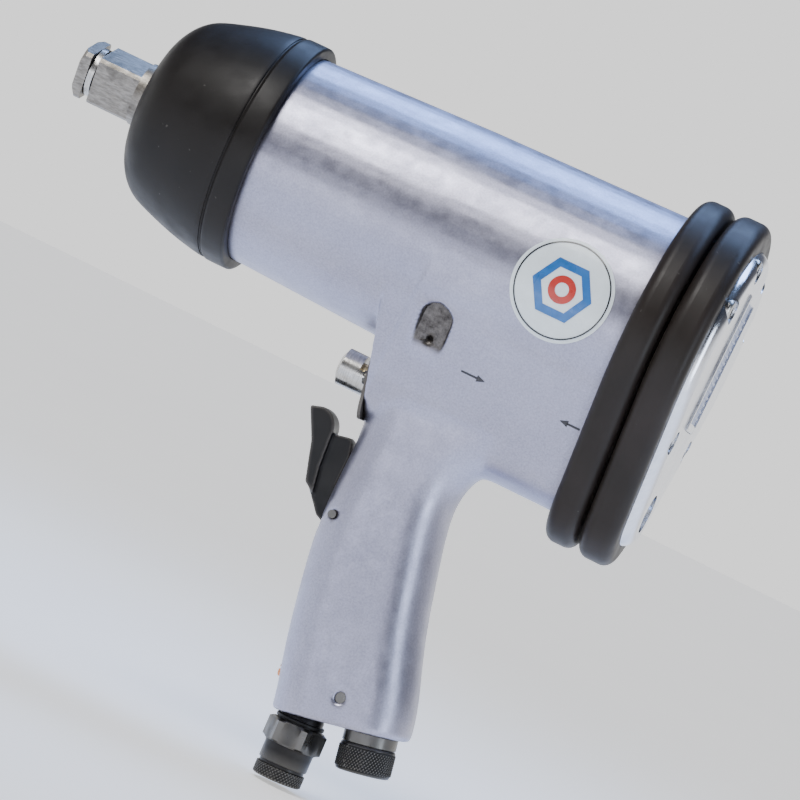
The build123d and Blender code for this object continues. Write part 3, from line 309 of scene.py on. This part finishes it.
OWN_FINISH = {
    "front_bumper_ring": "bumper_rubber",
    "rear_bumper_ring": "bumper_rubber",
    "trigger_pin": "black_oxide",
    "grip_cross_pin": "black_oxide",
}
for part in frame["record"]["subparts"]:
    shown = NODES[part["node"]]
    finish = OWN_FINISH.get(part["node"], part["material_slot"])
    shown.data.materials.clear()
    shown.data.materials.append(MATERIALS[finish])


# ------------------------------------------------------------------ mesh helpers
def finish_piece(obj, body, material, replaced=()):
    """Give a new piece its material and fasten it to its body."""
    obj.data.materials.clear()
    obj.data.materials.append(MATERIALS[material])
    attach(obj, body)
    if replaced:
        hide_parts(*replaced)
    return obj


def new_object(name, mesh):
    """Object in the scene that shows a mesh."""
    obj = bpy.data.objects.new(name, mesh)
    bpy.context.scene.collection.objects.link(obj)
    return obj


def shade_by_angle(mesh, angle=35.0):
    """Smooth faces, with sharp edges where two faces meet at more than an angle."""
    bm = bmesh.new()
    bm.from_mesh(mesh)
    for face in bm.faces:
        face.smooth = True
    for edge in bm.edges:
        if len(edge.link_faces) == 2:
            edge.smooth = edge.calc_face_angle(0.0) < radians(angle)
    bm.to_mesh(mesh)
    bm.free()


def lathe(name, origin, axis, profile, radius_at=None, segments=144, side=None):
    """Closed solid turned about an axis from (distance, radius) points in millimetres.

    radius_at(angle, distance, radius) may change the radius, for flats or knurling.
    """
    axis = Vector(axis).normalized()
    side = Vector(side or (0, 1, 0))
    side = (side - axis * side.dot(axis)).normalized()
    across = axis.cross(side)
    verts = []
    for distance, radius in profile:
        for k in range(segments):
            angle = 2 * pi * k / segments
            r = radius_at(angle, distance, radius) if radius_at else radius
            verts.append(
                Vector(origin) + (axis * distance + (side * cos(angle) + across * sin(angle)) * r) * MM
            )
    rows = len(profile)
    faces = []
    for row in range(rows - 1):
        for k in range(segments):
            nxt = (k + 1) % segments
            a, b = row * segments + k, row * segments + nxt
            faces.append((a, b, b + segments, a + segments))
    if profile[0][1] > 0.001 and profile[0] != profile[-1]:
        faces.append(tuple(reversed(range(segments))))
        faces.append(tuple(range((rows - 1) * segments, rows * segments)))
    mesh = bpy.data.meshes.new(name)
    mesh.from_pydata(verts, [], faces)
    obj = new_object(name, mesh)
    bm = bmesh.new()
    bm.from_mesh(mesh)
    bmesh.ops.remove_doubles(bm, verts=bm.verts, dist=1e-6)
    bmesh.ops.recalc_face_normals(bm, faces=bm.faces)
    bm.to_mesh(mesh)
    bm.free()
    shade_by_angle(mesh)
    return obj


def softened(node, name, voxel, passes):
    """Copy of a CAD node remeshed and relaxed, so that its corners look cast or moulded.

    voxel is in millimetres. Each pass is a number of rounds and a region that weighs it, or None.
    """
    source = NODES[node]
    obj = new_object(name, source.data.copy())
    obj.data.name = name
    remesh = obj.modifiers.new("remesh", "REMESH")
    remesh.mode = "VOXEL"
    remesh.voxel_size = voxel * MM
    remesh.adaptivity = 0.0
    apply_modifiers(obj)
    for rounds, region in passes:
        group = None
        if region:
            group = obj.vertex_groups.new(name="soft")
            for vertex in obj.data.vertices:
                weight = region(vertex.co / MM)
                if weight > 0:
                    group.add([vertex.index], weight, "REPLACE")
        relax = obj.modifiers.new("relax", "SMOOTH")
        relax.factor = 0.5
        relax.iterations = rounds
        if group:
            relax.vertex_group = "soft"
        apply_modifiers(obj)
        if group:
            obj.vertex_groups.remove(obj.vertex_groups["soft"])
    for polygon in obj.data.polygons:
        polygon.use_smooth = True
    return obj


def apply_modifiers(obj):
    """Bake an object's modifiers into its mesh."""
    graph = bpy.context.evaluated_depsgraph_get()
    graph.update()
    evaluated = obj.evaluated_get(graph)
    baked = bpy.data.meshes.new_from_object(evaluated)
    old = obj.data
    obj.modifiers.clear()
    obj.data = baked
    bpy.data.meshes.remove(old)


def rounded_profile(points, steps=3):
    """Catmull-Rom curve through (distance, radius) points."""
    curve = []
    for k in range(len(points) - 1):
        before = Vector(points[max(k - 1, 0)])
        a, b = Vector(points[k]), Vector(points[k + 1])
        after = Vector(points[min(k + 2, len(points) - 1)])
        for step in range(steps):
            t = step / steps
            place = 0.5 * (
                2 * a + (b - before) * t
                + (2 * before - 5 * a + 4 * b - after) * t**2
                + (3 * a - before - 3 * b + after) * t**3
            )
            curve.append((place.x, place.y))
    curve.append(tuple(points[-1]))
    return curve


def fade(value, start, end):
    """0 before start, 1 after end and smooth between, with start above or below end."""
    t = min(1.0, max(0.0, (value - start) / (end - start)))
    return t * t * (3 - 2 * t)


# ------------------------------------------------------------------ casting
def casting_region(p):
    """Where the casting's junctions are generously rounded: above the grip, behind the trigger slot."""
    slot_half_width, slot_back = 7.5, 184
    clear_of_slot = 1.0 if abs(p.y) > slot_half_width or p.x > slot_back else 0.0
    above_grip = fade(p.z, -100, -90)
    under_barrel = fade(p.z, -56, -66)
    behind_front = fade(p.x, 156, 166)
    return clear_of_slot * above_grip * under_barrel * behind_front


def raise_boss(obj):
    """Lift the boss a little off the barrel, so that its front stands up as a cast step."""
    lift, step_length = 1.5, 1.8
    front, front_level, front_lean = 157.0, -50.0, 0.11
    moved = []
    for vertex in obj.data.vertices:
        p, normal = vertex.co / MM, vertex.normal
        below_axis = fade(p.z, -9, -22)
        above_grip = fade(p.z, -66, -56)
        ahead_of_badge = fade(p.x, 204, 170)
        off_middle = fade(abs(p.y), 13, 16)
        amount = below_axis * above_grip * ahead_of_badge * off_middle
        edge = front + (p.z - front_level) * front_lean
        amount *= fade(p.x, edge, edge + step_length)
        if normal.y * p.y <= 0:
            amount = 0.0
        moved.append(vertex.co + normal * lift * amount * MM)
    for vertex, place in zip(obj.data.vertices, moved):
        vertex.co = place


def mark_pocket(obj):
    """Mark the side pocket's floor and hole, which the casting's material darkens with painted shade.

    A vertex is marked by how deep it lies under the line between the boss before and behind it.
    """
    front, back = 161.5, 182.5
    lowest, highest = -50, -14
    left, middle = -40, -12
    shallow, deep = 0.7, 1.6
    tree = BVHTree.FromPolygons(
        [v.co / MM for v in obj.data.vertices], [tuple(p.vertices) for p in obj.data.polygons]
    )

    def side(x, z):
        outside = Vector((x, -100, z))
        return tree.ray_cast(outside, Vector((0, 1, 0)))[0].y

    sunk = obj.data.attributes.new(POCKET_SHADE_MARK, "FLOAT", "POINT")
    for vertex in obj.data.vertices:
        p = vertex.co / MM
        if front < p.x < back and lowest < p.z < highest and left < p.y < middle:
            share = (p.x - front) / (back - front)
            rim = side(front, p.z) * (1 - share) + side(back, p.z) * share
            sunk.data[vertex.index].value = fade(p.y - rim, shallow, deep)


casting = softened("motor_housing", "casting", 0.95, [(4, None), (40, casting_region)])
raise_boss(casting)
mark_pocket(casting)
finish_piece(casting, "housing", "cast_aluminium", ["motor_housing"])
casting_tree = BVHTree.FromPolygons(
    [v.co for v in casting.data.vertices], [p.vertices for p in casting.data.polygons]
)

trigger_skin = softened("trigger", "trigger_lever", 0.45, [(10, None)])
finish_piece(trigger_skin, "trigger", "trigger_black", ["trigger"])


# ------------------------------------------------------------------ boot
def build_boot():
    """Rubber bell over the hammer case, with a crease in front of its rear lip."""
    low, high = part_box("nose_boot")
    length = (high.x - low.x) / MM
    rear_r = high.z / MM
    mouth_r = 12.95
    profile = [
        (0.6, mouth_r), (0.0, mouth_r + 0.5), (0.1, 15.2), (1.2, 17.3), (1.9, 20.5), (2.4, 23.8),
        (3.4, 27.4), (5.4, 31.0), (8.3, rear_r - 11.8), (12.8, rear_r - 8.7), (20.8, rear_r - 5.8),
        (30.4, rear_r - 3.0), (38.8, rear_r - 1.2), (44.6, rear_r - 0.35), (45.3, rear_r - 0.9),
        (46.0, rear_r - 0.9), (46.8, rear_r - 0.15), (48.2, rear_r), (length - 1.4, rear_r),
        (length - 0.4, rear_r - 0.4), (length, rear_r - 1.4), (length, rear_r - 4.2),
    ]
    smooth = rounded_profile(profile)
    inner = [(length - 2.0, rear_r - 4.2), (12.0, rear_r - 12.5), (5.0, 19.0), (4.0, mouth_r)]
    boot = lathe("boot_skin", (low.x, 0, 0), (1, 0, 0), smooth + inner + [smooth[0]], segments=180)
    return finish_piece(boot, "housing", "rubber", ["nose_boot"])


build_boot()


# ------------------------------------------------------------------ air fittings
def knurl(depth, teeth):
    """Diamond knurling: two crossing sets of helical teeth."""
    def radius_at(angle, distance, radius):
        turn = angle * teeth / 2
        wave = abs(sin(turn + distance * 1.9)) + abs(sin(turn - distance * 1.9))
        return radius - depth * (1 - wave / 2)
    return radius_at


def build_inlet():
    """Blackened bushing: neck, chamfered hexagon, barrel, groove and knurled ring."""
    mount = next(m for m in frame["record"]["mounts"] if m["name"] == "air_inlet")
    axis = Vector(mount["axis"])
    mouth = Vector(mount["pos_m"]) + axis * MM
    length, root, root_r = 26.4, -6.0, 8.4
    bore, depth, duct_r = mount["dims"]["r_mm"], mount["dims"]["length_mm"], 6.0
    origin = mouth - axis * length * MM
    flat_r, corner_r, barrel_r, groove_r, ring_r = 10.3, 12.0, 9.6, 8.9, 9.75
    thread_pitch, thread_height = 1.6, 0.35

    neck = [(root, root_r), (0.0, root_r), (0.3, 8.6), (3.7, 8.6), (3.8, 9.0)]
    nut = [(3.85, 10.2), (4.7, corner_r), (11.9, corner_r), (12.7, flat_r), (12.8, 9.9)]
    barrel = [(13.2, ring_r), (13.6, barrel_r), (19.6, barrel_r), (20.0, 9.4)]
    groove = [(20.2, groove_r), (21.2, groove_r), (21.4, 9.4)]
    band = [(21.6 + 0.35 * k, ring_r) for k in range(13)]
    lip = [(26.1, 9.4), (length, 9.0), (length, bore + 0.4), (length - 0.5, bore)]
    thread = []
    for k in range(9):
        crest = length - 1.0 - thread_pitch * k
        root_of_thread = length - 1.8 - thread_pitch * k
        thread += [(crest, bore + thread_height), (root_of_thread, bore)]
    end = length - depth + 0.9
    duct = [(end, bore), (end, duct_r), (root, duct_r), (root, root_r)]
    rows = neck + nut + barrel + groove + band + lip + thread + duct
    ring = knurl(0.5, 44)

    def radius_at(angle, distance, radius):
        if 3.8 < distance < 12.8 and radius > 9.95:
            return min(radius, flat_r / cos((angle + pi / 6) % (pi / 3) - pi / 6))
        if 21.5 < distance < 26.0 and radius > 9:
            return ring(angle, distance, radius)
        return radius

    bushing = lathe("inlet_fitting", origin, axis, rows, radius_at, segments=264)
    return finish_piece(bushing, "housing", "black_oxide", ["inlet_bushing"])


def build_deflector():
    """Knurled cap of the exhaust with a shallow dished face, over the plain collar."""
    joint = next(j for j in frame["joints"] if j["name"] == "deflector_swivel")
    axis = Vector(joint["axis"]).normalized()
    origin = Vector(joint["pos_m"])
    start, end, radius = 4.75, 15.6, 11.0
    collar_r, dish_r, dish_depth = 8.1, 7.6, 0.5
    steps = 24
    shoulder = [
        (start, collar_r), (start, radius - 0.9), (start + 0.7, radius - 0.4), (start + 1.2, radius - 0.4),
    ]
    band = (end - 1.6) - (start + 1.4)
    knurled = [(start + 1.4 + band * k / steps, radius) for k in range(steps + 1)]
    rim = [(end - 1.3, radius - 0.5), (end - 0.7, radius - 0.6), (end - 0.2, radius - 1.0)]
    face = [(end, radius - 1.6), (end, dish_r), (end - dish_depth, dish_r - 0.4), (end - dish_depth, 0.0)]
    rows = shoulder + knurled + rim + face
    teeth = knurl(0.55, 52)

    def radius_at(angle, distance, r):
        return teeth(angle, distance, r) if r > radius - 0.01 else r

    cap = lathe("exhaust_cap", origin, axis, rows, radius_at, segments=312)
    return finish_piece(cap, "deflector", "black_oxide", ["exhaust_deflector"])


build_inlet()
build_deflector()


# ------------------------------------------------------------------ printed marks on the casting
def skin_point(x, z, lift):
    """Point on the casting's left side at a place in millimetres, lifted off its surface."""
    outside = Vector((x * MM, -0.1, z * MM))
    hit, normal = casting_tree.ray_cast(outside, Vector((0, 1, 0)))[:2]
    return hit + normal * lift * MM


def patch(name, at, columns, rows, material, lift, thickness, closed=False):
    """Thin film on the casting from a map of (column, row) shares to a place (x, z)."""
    verts = []
    for i in range(columns + (0 if closed else 1)):
        for k in range(rows + 1):
            verts.append(skin_point(*at(i / columns, k / rows), lift))
    count = rows + 1
    total = columns if closed else columns + 1
    faces = []
    for i in range(columns):
        a, b = i * count, (i + 1) % total * count
        for k in range(rows):
            faces.append((a + k, a + k + 1, b + k + 1, b + k))
    mesh = bpy.data.meshes.new(name)
    mesh.from_pydata(verts, [], faces)
    obj = new_object(name, mesh)
    bm = bmesh.new()
    bm.from_mesh(mesh)
    bmesh.ops.recalc_face_normals(bm, faces=bm.faces)
    if bm.faces[0].normal.y > 0:
        bmesh.ops.reverse_faces(bm, faces=bm.faces)
    bmesh.ops.solidify(bm, geom=bm.faces[:], thickness=thickness * MM)
    bm.to_mesh(mesh)
    bm.free()
    shade_by_angle(mesh)
    return finish_piece(obj, "housing", material)


def ring_patch(name, centre, inner, outer, material, lift=0.5, segments=120):
    """Ring between two radius functions of the angle."""
    def at(turn, share):
        angle = 2 * pi * turn
        r = inner(angle) + (outer(angle) - inner(angle)) * share
        return centre[0] + r * cos(angle), centre[1] + r * sin(angle)
    return patch(name, at, segments, 3, material, lift, 0.1, closed=True)


def hexagon(apothem):
    """Radius of a hexagon that stands on a corner, as a function of the angle."""
    return lambda angle: apothem / cos(angle % (pi / 3) - pi / 6)


def build_badge():
    """Generic round badge: dark rim line, blue nut outline and a red core."""
    low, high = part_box("side_badge")
    centre = ((low.x + high.x) / 2 / MM, (low.z + high.z) / 2 / MM)
    radius = (high.x - low.x) / 2 / MM
    ring_patch("badge_rim", centre, lambda a: radius - 1.9, lambda a: radius - 1.35, "marking_black")
    ring_patch("badge_nut", centre, hexagon(7.4), hexagon(10.4), "badge_blue")
    ring_patch("badge_core", centre, lambda a: 2.6, lambda a: 5.2, "badge_red")


def build_arrow(name, tail, head):
    """Thin printed arrow from tail to head, with a filled point."""
    shaft_width, head_width, tip_width = 0.7, 2.4, 0.12
    head_length, overlap = 3.2, 0.4
    tail, head = Vector(tail), Vector(head)
    along = (head - tail).normalized()
    across = Vector((-along.y, along.x))
    neck = head - along * head_length

    def strip(label, start, end, start_width, end_width):
        def at(u, v):
            width = start_width + (end_width - start_width) * u
            point = start + (end - start) * u + across * width * (v - 0.5)
            return point.x, point.y
        patch(label, at, 8, 3, "marking_black", 0.12, 0.06)

    strip(name + "_shaft", tail, neck + along * overlap, shaft_width, shaft_width)
    strip(name + "_head", neck, head, head_width, tip_width)


build_badge()
build_arrow("arrow_rear", (187.9, -42.4), (197.5, -42.4))
build_arrow("arrow_front", (237.0, -43.0), (228.9, -43.0))


# ------------------------------------------------------------------ nameplate
def block(bm, x0, x1, y0, y1, z0, z1, bevel):
    """Bevelled block in millimetres, added to a mesh under construction."""
    made = bmesh.ops.create_cube(bm, size=1.0)
    for vert in made["verts"]:
        vert.co = Vector((
            (x0 + x1) / 2 + vert.co.x * (x1 - x0),
            (y0 + y1) / 2 + vert.co.y * (y1 - y0),
            (z0 + z1) / 2 + vert.co.z * (z1 - z0),
        )) * MM
    edges = list({edge for vert in made["verts"] for edge in vert.link_edges})
    bmesh.ops.bevel(bm, geom=edges, offset=bevel * MM, segments=2, affect="EDGES")


def mesh_piece(name, bm, body, material, replaced=()):
    """Finished piece from a mesh under construction."""
    mesh = bpy.data.meshes.new(name)
    bm.to_mesh(mesh)
    bm.free()
    obj = new_object(name, mesh)
    shade_by_angle(mesh)
    return finish_piece(obj, body, material, replaced)


def build_nameplate():
    """Bright frame on the cover round a blue ribbed field."""
    low, high = [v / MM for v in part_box("cover_nameplate")]
    rim = 3.2
    proud, sunk = 0.25, 0.35
    frame_mesh = bmesh.new()
    for y0, y1, z0, z1 in (
        (low.y, low.y + rim, low.z, high.z),
        (high.y - rim, high.y, low.z, high.z),
        (low.y + rim * 0.7, high.y - rim * 0.7, low.z, low.z + rim),
        (low.y + rim * 0.7, high.y - rim * 0.7, high.z - rim, high.z),
    ):
        block(frame_mesh, low.x, high.x + proud, y0, y1, z0, z1, 0.35)
    mesh_piece("nameplate_frame", frame_mesh, "housing", "polished_cover")
    field = bmesh.new()
    block(field, low.x, high.x - sunk, low.y + rim * 0.8, high.y - rim * 0.8,
          low.z + rim * 0.8, high.z - rim * 0.8, 0.1)
    ribs, rib_height, end_gap, side_gap = 15, 1.3, 2.0, 2.2
    height = high.z - low.z - 2 * rim - 9.0
    for k in range(ribs):
        z = low.z + rim + end_gap + height * k / (ribs - 1)
        y0, y1 = low.y + rim + side_gap, high.y - rim - side_gap
        block(field, high.x - 0.6, high.x + 0.05, y0, y1, z, z + rib_height, 0.22)
    mesh_piece("nameplate_field", field, "housing", "nameplate", ["cover_nameplate"])


build_nameplate()


# ------------------------------------------------------------------ stage, lights, camera
def build_world():
    """Studio surroundings: bright towards the backdrop, dim overhead and behind the viewer."""
    world = bpy.data.worlds.new("studio")
    bpy.context.scene.world = world
    world.use_nodes = True
    nodes, links = world.node_tree.nodes, world.node_tree.links
    direction = nodes.new("ShaderNodeTexCoord").outputs["Generated"]
    split = nodes.new("ShaderNodeSeparateXYZ")
    links.new(direction, split.inputs[0])

    def ramp(value, low, high, stops):
        share = nodes.new("ShaderNodeMapRange")
        share.inputs["From Min"].default_value = low
        share.inputs["From Max"].default_value = high
        links.new(value, share.inputs["Value"])
        node = nodes.new("ShaderNodeValToRGB")
        links.new(share.outputs["Result"], node.inputs["Fac"])
        elements = node.color_ramp.elements
        while len(elements) < len(stops):
            elements.new(0.5)
        for element, (place, colour) in zip(elements, stops):
            element.position = place
            element.color = rgb(*colour)
        return node.outputs["Color"]

    height = ramp(split.outputs["Z"], -1.0, 1.0, (
        (0.0, (0.5, 0.5, 0.5)), (0.46, (1.0, 1.0, 1.0)), (0.58, (1.0, 1.0, 1.0)),
        (0.66, (0.12, 0.12, 0.13)), (0.8, (0.05, 0.05, 0.06)), (1.0, (0.18, 0.24, 0.36)),
    ))
    depth = ramp(split.outputs["Y"], -1.0, 1.0, ((0.1, (0.14, 0.14, 0.15)), (0.8, (1.0, 1.0, 1.0))))
    product = nodes.new("ShaderNodeMix")
    product.data_type = "RGBA"
    product.blend_type = "MULTIPLY"
    product.inputs[0].default_value = 1.0
    links.new(height, product.inputs[6])
    links.new(depth, product.inputs[7])
    background = nodes["Background"]
    links.new(product.outputs[2], background.inputs["Color"])
    background.inputs["Strength"].default_value = 1.3


def build_floor():
    """Very large pale floor just under the lowest fitting."""
    size = 40.0
    level = cad_low.z - 0.0015
    mesh = bpy.data.meshes.new("floor")
    mesh.from_pydata(
        [(-size, -size, level), (size, -size, level), (size, size, level), (-size, size, level)],
        [], [(0, 1, 2, 3)],
    )
    floor = new_object("floor", mesh)
    m = Shader("floor_white")
    m.wire(m.ramp(m.noise(3.0), rgb(0.86, 0.86, 0.87), rgb(0.9, 0.9, 0.9), 0.3, 0.7), "Base Color")
    m.put(Roughness=0.95, Specular_IOR_Level=0.1, Emission_Color=rgb(1.0, 1.0, 1.0), Emission_Strength=0.56)
    mesh.materials.append(m.material)


def aimed_light(kind, name, place, target, power, colour, **settings):
    """Light at a place from the object's middle, pointing at a target."""
    data = bpy.data.lights.new(name, kind)
    data.energy = power
    data.color = colour
    for key, value in settings.items():
        setattr(data, key, value)
    lamp = bpy.data.objects.new(name, data)
    bpy.context.scene.collection.objects.link(lamp)
    lamp.location = target + Vector(place)
    lamp.rotation_mode = "QUATERNION"
    lamp.rotation_quaternion = (target - lamp.location).to_track_quat("-Z", "Y")


def build_lights():
    """Broad key from the upper left front, blue strip above, kicker behind and a weak low fill."""
    middle = (cad_low + cad_high) / 2
    aimed_light("SUN", "key", (-0.5, -0.75, 0.95), middle, 2.3, (1.0, 0.985, 0.96), angle=radians(30))
    aimed_light("AREA", "blue_top", (0.1, 0.25, 0.7), middle, 7.0, (0.36, 0.55, 1.0),
                shape="RECTANGLE", size=0.9, size_y=0.35)
    aimed_light("AREA", "rear_kicker", (0.75, -0.45, 0.1), middle, 2.2, (0.75, 0.85, 1.0),
                shape="RECTANGLE", size=0.25, size_y=0.6)
    aimed_light("AREA", "low_front", (-0.1, -0.8, -0.1), middle, 0.6, (0.85, 0.88, 1.0),
                shape="RECTANGLE", size=0.7, size_y=0.12)


def build_camera():
    """Level camera, ten degrees behind square-on to the left side, rolled by 26 degrees."""
    data = bpy.data.cameras.new("camera")
    camera = bpy.data.objects.new("camera", data)
    bpy.context.scene.collection.objects.link(camera)
    eye = Vector((0.431, -1.5, -0.062))
    aim = Vector((0.167, 0.0, -0.062))
    data.sensor_width = 36.0
    data.lens = 182.0
    data.clip_start = 0.05
    data.clip_end = 100.0
    camera.location = eye
    camera.rotation_mode = "QUATERNION"
    look = (aim - eye).to_track_quat("-Z", "Y")
    camera.rotation_quaternion = look @ Quaternion((0, 0, 1), radians(26.0))
    bpy.context.scene.camera = camera


build_world()
build_floor()
build_lights()
build_camera()
